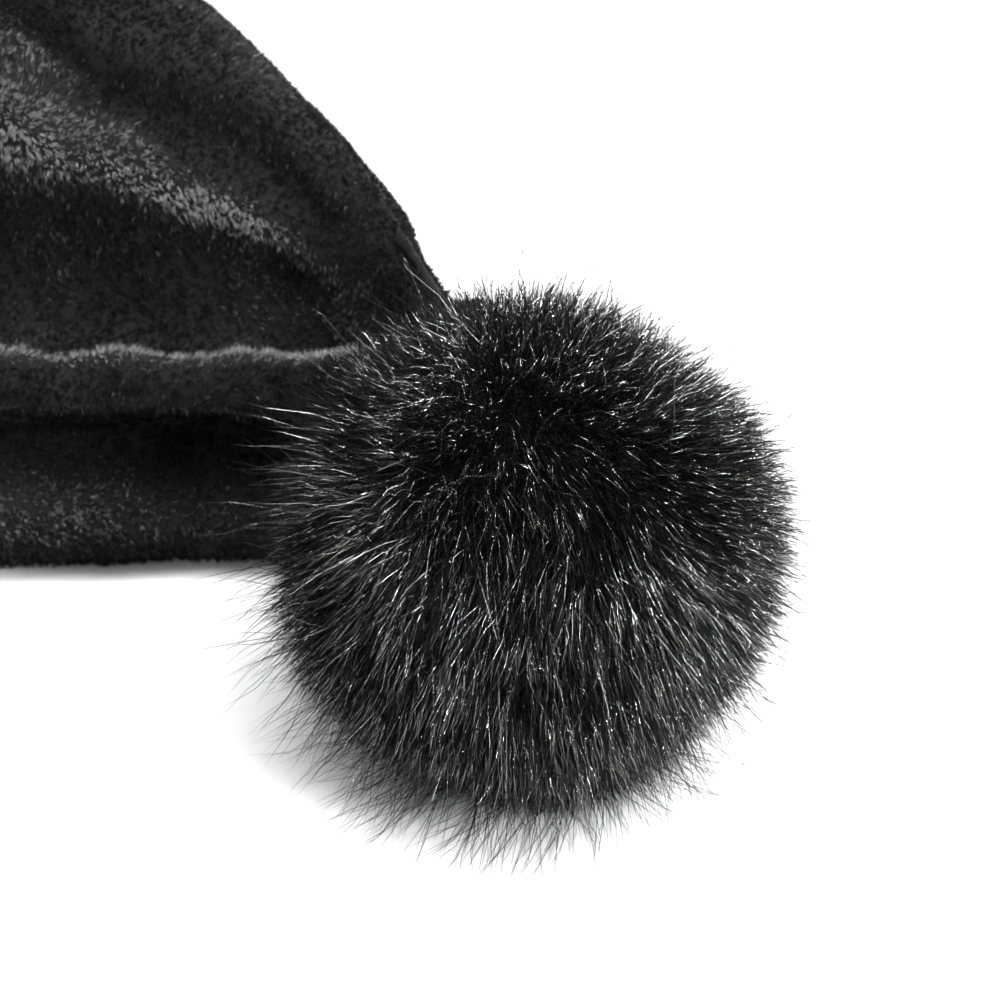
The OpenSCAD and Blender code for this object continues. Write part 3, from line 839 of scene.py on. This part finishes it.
def cuff_profile():
    """Rounded section of the cuff's backing as (x, r), from its upper edge round the outside to the mouth."""
    corner = CUFF_CORNER
    x0, x1 = CUFF_SIDE, CUFF_W - CUFF_SIDE
    r0, r1 = CUFF_IN_R, CUFF_BASE_R
    turn = np.linspace(0, math.pi / 2, 7)
    pts = [(x1 - 12, r0), (x1 - 1.5, r0 + 0.2), (x1, r0 + 1.6)]
    pts += [(x1 - corner + corner * math.cos(a), r1 - corner + corner * math.sin(a)) for a in turn]
    for s in np.linspace(0, 1, 12)[1:-1]:
        pts.append((x1 - corner + (x0 - x1 + 2 * corner) * s, r1 + 0.9 * math.sin(math.pi * s)))
    pts += [(x0 + corner - corner * math.sin(a), r1 - corner + corner * math.cos(a)) for a in turn]
    pts += [(x0, r0 + 1.6), (x0 + 1.5, r0 + 0.2), (x0 + 12, r0)]
    return np.array(pts)


def cuff_surface():
    prof = cuff_profile()
    phi = np.linspace(0, 2 * math.pi, CUFF_COLS, endpoint=False)
    sag = Waves(70, 60)
    x = np.broadcast_to(prof[:, :1], (len(prof), CUFF_COLS))
    r = np.broadcast_to(prof[:, 1:], (len(prof), CUFF_COLS))
    p = np.stack([x, r * np.cos(phi), AXIS_Z + r * np.sin(phi)], 2)
    bulge = smooth(CUFF_IN_R + 2, CUFF_BASE_R, r)
    d = np.maximum(0.9 * sag(p), -0.5) * bulge
    p = np.stack([x, (r + d) * np.cos(phi), AXIS_Z + (r + d) * np.sin(phi)], 2)
    p[..., 2] = np.maximum(p[..., 2], CUFF_LOWEST)
    return p, grid_normals(p)


def make_cuff():
    p, n = cuff_surface()
    inner = p - CUFF_BACKING_T * n
    verts, faces = double_sheet(p, inner)
    ob = mesh_object("cuff_backing", world(verts), faces, [FUR_BASE])
    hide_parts("cuff_cover")
    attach(ob, "crown")
    rng = np.random.default_rng(SEED + 71)
    outside = (np.linalg.norm((p - [0, 0, AXIS_Z])[:-1, :, 1:], axis=2) > CUFF_IN_R + 1.0).astype(float)
    root, up, _, _ = scatter(rng, p, n, CUFF_DENSITY, outside)
    count = len(root)
    swirl = Waves(72, 55)
    swirl2 = Waves(73, 18)
    lay = np.array([-1.0, 0, 0]) + 0.75 * np.stack([swirl(root), swirl(root + 40), swirl(root + 80)], 1)
    lay = lay + 0.45 * np.stack([swirl2(root), swirl2(root + 40), swirl2(root + 80)], 1)
    lay = unit(lay - (lay * up).sum(1, keepdims=True) * up)
    length = rng.uniform(11, 17, count)
    floor = 0.25 + 1.5 * rng.random(count) ** 2
    droop = 1.5 * lay + 0.35 * DOWN
    paths = drooping_paths(root - 0.8 * up, unit(up + 0.35 * lay), length, droop, floor, 3, rng, 0.16)
    # tips draw together into locks
    cell = np.floor(root / LOCK_SIZE).astype(int)
    inverse = np.unique(cell, axis=0, return_inverse=True)[1].reshape(-1)
    share = np.bincount(inverse)
    mean = np.stack([np.bincount(inverse, paths[:, -1, k]) / share for k in range(3)], 1)
    pull = rng.uniform(0.1, 0.55, (count, 1))
    t = np.linspace(0, 1, paths.shape[1])[None, :, None] ** 1.6
    paths = paths + ((mean[inverse] - paths[:, -1]) * pull)[:, None] * t
    past_mouth = np.maximum(-CUFF_REACH - paths[..., 0], 0)
    paths[..., 0] += past_mouth * 0.6
    paths[..., 2] = np.maximum(paths[..., 2], LOWEST_TIP)
    radius = rng.uniform(0.09, 0.17, count) * MM
    choice = np.digitize(rng.random(count), [0.45, 0.82])
    taper = [1.0, 0.95, 0.7]
    for k in range(CUFF_PIECES):
        pick = np.arange(count) % CUFF_PIECES == k
        name = f"cuff_hair_{k + 1}"
        ob = hair_object(name, world(paths[pick]), radius[pick], taper, FUR, choice[pick], seed=74 + k)
        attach(ob, "crown")


# ---------------------------------------------------------------- lining and inside
LINING_IN = 3.5  # below the plush face, past the cuff
LINING_IN_MOUTH = 2.5  # the same at the mouth
LINING_T = 0.4
LINING_END = 20.0  # it stops this far short of the neck
LINING_SLACK = 0.8  # it hangs off the plush by this where it isn't sewn


def make_lining():
    xs = rows_along(3.0, HAT_LEN - LINING_END, 3.2, 2.2)
    us = columns_round(180)
    base = face_points(xs, us)
    n = grid_normals(base)
    base = base + n * np.minimum(cloth_detail(xs, us, base), 1.0)[:, :, None]
    depth = LINING_IN_MOUTH + (LINING_IN - LINING_IN_MOUTH) * smooth(CUFF_W, CUFF_W + 40, xs)
    slack = 0.55 * Waves(80, 26)(base) + 0.35 * Waves(81, 9)(base)
    free = smooth(34, 60, xs)[:, None]
    slack = np.clip(slack, -0.3, 0.5) * free
    drop = depth[:, None] + LINING_T + (LINING_SLACK + slack) * free
    inner = base - n * drop[:, :, None]
    outer = inner + n * LINING_T
    lowest = FLOOR_GAP + SHEET_T + 0.35
    outer[..., 2] = np.maximum(outer[..., 2], lowest)
    inner[..., 2] = np.maximum(inner[..., 2], lowest + LINING_T)
    verts, faces = double_sheet(outer, inner)
    ob = mesh_object("satin_lining", world(verts), faces, [SATIN])
    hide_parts("crown_lining_front", "crown_lining_back", "peak_lining_front", "peak_lining_back")
    return across_fold(ob)


BAND_X0 = 3.0
BAND_W = mounts["head_opening"]["dims"]["length_mm"]
STITCH_IN = 2.2  # the stitch row lies this far from the band's inner edge
BAND_STITCHES = 190


def make_sweatband():
    """The folded band inside the mouth, with a rolled edge at the mouth and a stitched one inside."""
    cols = 260
    edge = [(BAND_W, 0.95), (BAND_W, 0.35), (BAND_W - 1.2, 0.25)]
    stitched = [(BAND_W - STITCH_IN, 0.55), (BAND_W - 3.2, 0.2)]
    middle = [(x, 0.12) for x in np.linspace(BAND_W - 5, 3, 8)]
    rolled = [(1.2, 0.2), (0.3, 0.55), (0, 0.9), (0.4, 1.3)]
    back = [(1.6, 1.5), (BAND_W - 1, 1.5)]
    prof = np.array(edge + stitched + middle + rolled + back) + [BAND_X0, HEAD_R]
    phi = np.linspace(0, 2 * math.pi, cols, endpoint=False)
    gather = 0.10 * np.sin(phi * 64 + 1.4 * np.sin(phi * 5))
    r = prof[:, 1:] + gather[None] * bell(prof[:, :1], BAND_X0 + BAND_W / 2, 11)
    x = np.broadcast_to(prof[:, :1], r.shape)
    p = np.stack([x, r * np.cos(phi), AXIS_Z + r * np.sin(phi)], 2)
    rows = len(prof)
    j = np.arange(cols)
    k = (j + 1) % cols
    close = np.stack([(rows - 1) * cols + j, j, k, (rows - 1) * cols + k], 1)
    faces = np.concatenate([grid_faces(rows, cols), close])
    ob = mesh_object("sweatband_cloth", world(p.reshape(-1, 3)), faces, [TWILL])
    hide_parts("sweatband")
    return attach(ob, "crown")


def stitch_row(name, points, ups, radius, body):
    """A row of short stitches: each a thin loop of thread that arches over the cloth between two points."""
    n = len(points) - 1
    a, b = points[:-1], points[1:]
    a, b = a + (b - a) * 0.10, b - (b - a) * 0.10
    up = ups[:-1]
    t = np.linspace(0, 1, 6)
    arch = np.sin(np.pi * t)
    lift = (0.28 * arch - 0.12)[None, :, None]
    paths = a[:, None] * (1 - t)[None, :, None] + b[:, None] * t[None, :, None] + up[:, None] * lift
    verts, faces = tubes(paths * MM, np.full(n, radius * MM), [0.75, 1.0, 1.0, 1.0, 0.75], sides=5, seed=90)
    ob = mesh_object(name, verts, faces, [THREAD])
    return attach(ob, body)


def make_band_stitches():
    phi = np.linspace(0, 2 * math.pi, BAND_STITCHES + 1)
    x = BAND_X0 + BAND_W - STITCH_IN
    r = HEAD_R + 0.50
    pts = np.stack([np.full_like(phi, x), r * np.cos(phi), AXIS_Z + r * np.sin(phi)], 1) + np.array(MOUTH)
    ups = np.stack([0 * phi, -np.cos(phi), -np.sin(phi)], 1)
    stitch_row("sweatband_stitches", pts, ups, 0.17, "crown")


LABEL_TURN_R = 0.2  # radius of the ribbon's turn at its free end
RIBBON_T = 0.16


def make_label():
    """A blank satin ribbon, folded over at its free end, that hangs from its hem."""
    lo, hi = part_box("care_label")
    lo, hi = np.array(lo) / MM, np.array(hi) / MM
    y = (lo[1] + hi[1]) / 2
    xs = np.linspace(lo[0] + 0.5, hi[0], 22)
    zs = np.linspace(lo[2] + 0.2, hi[2] - 0.2, 15)
    s = (xs - xs[0]) / (xs[-1] - xs[0])
    bow = -2.2 * s ** 2 + 0.5 * np.sin(s * 5)
    z_mid = (zs - zs.mean()) / (zs[-1] - zs[0])
    curl = 0.8 * s[:, None] * (2 * z_mid[None, :]) ** 2
    ys = y + bow[:, None] - curl
    p = np.stack(np.broadcast_arrays(xs[:, None], ys, zs[None, :]), 2)
    roll = np.linspace(0, math.pi, 7)[1:]
    turn = []
    for a in roll:
        x = np.full(len(zs), xs[-1] + LABEL_TURN_R * math.sin(a))
        turn.append(np.stack([x, p[-1, :, 1] - LABEL_TURN_R * (1 - math.cos(a)), zs], 1))
    back = p[::-1][1:].copy()
    back[..., 1] -= 2 * LABEL_TURN_R
    grid = np.concatenate([p, np.stack(turn), back])
    n = grid_normals(grid, closed=False)
    verts, faces = double_sheet(grid, grid - RIBBON_T * n, closed=False)
    ob = mesh_object("care_label_ribbon", verts * MM, faces, [LABEL])
    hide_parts("care_label")
    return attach(ob, "label")


TIP_RUN, TIP_BENT = 8, 10  # straight from the neck, then towards the pompom
TIP_R, TIP_END_R = 6.3, 5.2
WAIST_AT = 0.16  # where the thread draws it in, as a share of its length


def make_gathered_tip():
    """The bunched end of the shell, pleated lengthwise, bent towards the pompom."""
    start = np.array([HAT_LEN + MOUTH.x + 0.2, 0, NECK_Z])
    elbow = np.array([HAT_LEN + MOUTH.x + TIP_RUN, 0, NECK_Z])
    end = elbow + POM_AXIS * TIP_BENT
    t = np.linspace(0, 1, 26)[:, None]
    path = (1 - t) ** 2 * start + 2 * t * (1 - t) * elbow + t * t * end
    along = unit(np.gradient(path, axis=0))
    side = unit(np.cross([0, 0, 1.0], along))
    up = np.cross(along, side)
    cols = 84
    a = np.linspace(0, 2 * math.pi, cols, endpoint=False)
    waist = 1 - 0.16 * bell(t[:, 0], WAIST_AT, 0.09) + 0.05 * np.sin(t[:, 0] * 9)
    radius = (TIP_R - (TIP_R - TIP_END_R) * t[:, 0]) * waist
    pleat = 1 + 0.10 * np.cos(PLEATS * a[None, :] + 2.0 * t) * (1 - 0.5 * bell(t, WAIST_AT, 0.1))
    r = radius[:, None] * pleat
    outward = np.cos(a)[None, :, None] * side[:, None] + np.sin(a)[None, :, None] * up[:, None]
    p = path[:, None] + r[..., None] * outward
    rows = len(path)
    verts = np.concatenate([p.reshape(-1, 3), [path[0], path[-1] + 0.4 * along[-1]]])
    n = rows * cols
    j = np.arange(cols)
    k = (j + 1) % cols
    caps = np.concatenate([np.stack([j, k, np.full(cols, n)], 1),
                           np.stack([n - cols + k, n - cols + j, np.full(cols, n + 1)], 1)])
    ob = mesh_object("gathered_tip_cloth", verts * MM, [grid_faces(rows, cols), caps], [PLUSH])
    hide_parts("gathered_tip")
    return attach(ob, "peak")


def dress_cad_nodes():
    """Materials for the CAD pieces that stay: threads, wadding, elastic and the pompom's inside."""
    plan = {
        THREAD: ["cuff_back_seam", "cuff_slip_stitches", "label_tack_stitches",
                 "tip_gather_thread", "tip_loop", "tie_link", "pompom_loop", "pompom_gather_thread"],
        WADDING: ["cuff_wadding", "pompom_filling"],
        ELASTIC: ["sweatband_elastic"],
        FUR_BASE: ["pompom_pouch"],
    }
    for material, names in plan.items():
        for name in names:
            mesh = frame["nodes"][name].data
            mesh.materials.clear()
            mesh.materials.append(material)


# ---------------------------------------------------------------- floor, light and camera
AMBIENT = 1.05  # even light from the room on matt surfaces
AMBIENT_GLOSS = 0.08  # the same as glossy fibres reflect it
FLOOR_TONE = 0.92  # the floor as the camera sees it
FLOOR_BOUNCE = 0.40  # the floor as it lights the hat from below
FLOOR_HALF = 6.0  # half the floor's side, metres
VIEW_AZ, VIEW_EL = math.radians(17), math.radians(33)
PX_PER_MM = 6.0
VIEW_DISTANCE = 700.0
FRAME_PX = 1000
FRAME_W = FRAME_PX / PX_PER_MM  # width of the picture at the pompom, mm
AIM_LEFT, AIM_UP = 32 / PX_PER_MM, 45 / PX_PER_MM  # the camera aims this far off the pompom's centre
SENSOR_W = 36


def view_axes():
    level = math.cos(VIEW_EL)
    back = np.array([math.sin(VIEW_AZ) * level, -math.cos(VIEW_AZ) * level, math.sin(VIEW_EL)])
    right = np.array([math.cos(VIEW_AZ), math.sin(VIEW_AZ), 0])
    return back, right, np.cross(back, right)


def make_floor():
    verts = FLOOR_HALF * np.array([[-1, -1, 0], [1, -1, 0], [1, 1, 0], [-1, 1, 0]])
    m, nodes, links, bsdf = new_material("pale_floor")
    ray = nodes.new("ShaderNodeLightPath")
    tone = nodes.new("ShaderNodeMix")
    tone.inputs["A"].default_value = FLOOR_BOUNCE
    tone.inputs["B"].default_value = FLOOR_TONE
    links.new(ray.outputs["Is Camera Ray"], tone.inputs["Factor"])
    links.new(tone.outputs["Result"], bsdf.inputs["Base Color"])
    bsdf.inputs["Roughness"].default_value = 0.9
    bsdf.inputs["Specular IOR Level"].default_value = 0.1
    mesh_object("floor", verts, np.array([[0, 1, 2, 3]]), [m], flat=True)


def area_light(name, location, target, size, power):
    """A round soft light, metres and watts, that faces its target."""
    data = bpy.data.lights.new(name, "AREA")
    data.shape = "DISK"
    data.size = size
    data.energy = power
    ob = bpy.data.objects.new(name, data)
    ob.location = location
    ob.rotation_mode = "QUATERNION"
    ob.rotation_quaternion = (Vector(target) - Vector(location)).to_track_quat("-Z", "Y")
    bpy.context.scene.collection.objects.link(ob)


def make_light():
    scene = bpy.context.scene
    world_shader = bpy.data.worlds.new("studio")
    world_shader.use_nodes = True
    nodes, links = world_shader.node_tree.nodes, world_shader.node_tree.links
    ray = nodes.new("ShaderNodeLightPath")
    last = None
    for output, level in (("Is Diffuse Ray", AMBIENT), ("Is Camera Ray", 1.0)):
        pick = nodes.new("ShaderNodeMix")
        pick.inputs["A"].default_value = AMBIENT_GLOSS
        pick.inputs["B"].default_value = level
        links.new(ray.outputs[output], pick.inputs["Factor"])
        if last is not None:
            links.new(last.outputs["Result"], pick.inputs["A"])
        last = pick
    links.new(last.outputs["Result"], nodes["Background"].inputs["Strength"])
    nodes["Background"].inputs["Color"].default_value = (1, 1, 1, 1)
    scene.world = world_shader
    scene.view_settings.view_transform = "Standard"
    centre = POM_C * MM
    area_light("key_light", centre + np.array([0.75, 0.30, 1.10]), centre, 0.65, 26)
    area_light("top_light", centre + np.array([0.10, -0.30, 1.30]), centre, 0.90, 14)
    area_light("right_light", centre + np.array([1.00, -0.55, 0.80]), centre, 0.35, 22)


def make_camera():
    back, right, up = view_axes()
    target = POM_C - right * AIM_LEFT + up * AIM_UP
    data = bpy.data.cameras.new("camera")
    data.sensor_width = SENSOR_W
    data.lens = SENSOR_W * VIEW_DISTANCE / FRAME_W
    data.clip_start, data.clip_end = 0.01, 50
    ob = bpy.data.objects.new("camera", data)
    ob.location = Vector((target + back * VIEW_DISTANCE) * MM)
    ob.rotation_mode = "QUATERNION"
    ob.rotation_quaternion = Vector(-back).to_track_quat("-Z", "Y")
    bpy.context.scene.collection.objects.link(ob)
    bpy.context.scene.camera = ob
    focus = bpy.data.objects.new("focus", None)
    focus.location = Vector((POM_C + back * POM_R * 0.75) * MM)
    bpy.context.scene.collection.objects.link(focus)
    data.dof.use_dof = True
    data.dof.focus_object = focus
    data.dof.aperture_fstop = 45


make_shell()
make_seams()
make_pile()
make_pompom()
make_cuff()
make_lining()
make_sweatband()
make_band_stitches()
make_label()
make_gathered_tip()
dress_cad_nodes()
make_floor()
make_light()
make_camera()
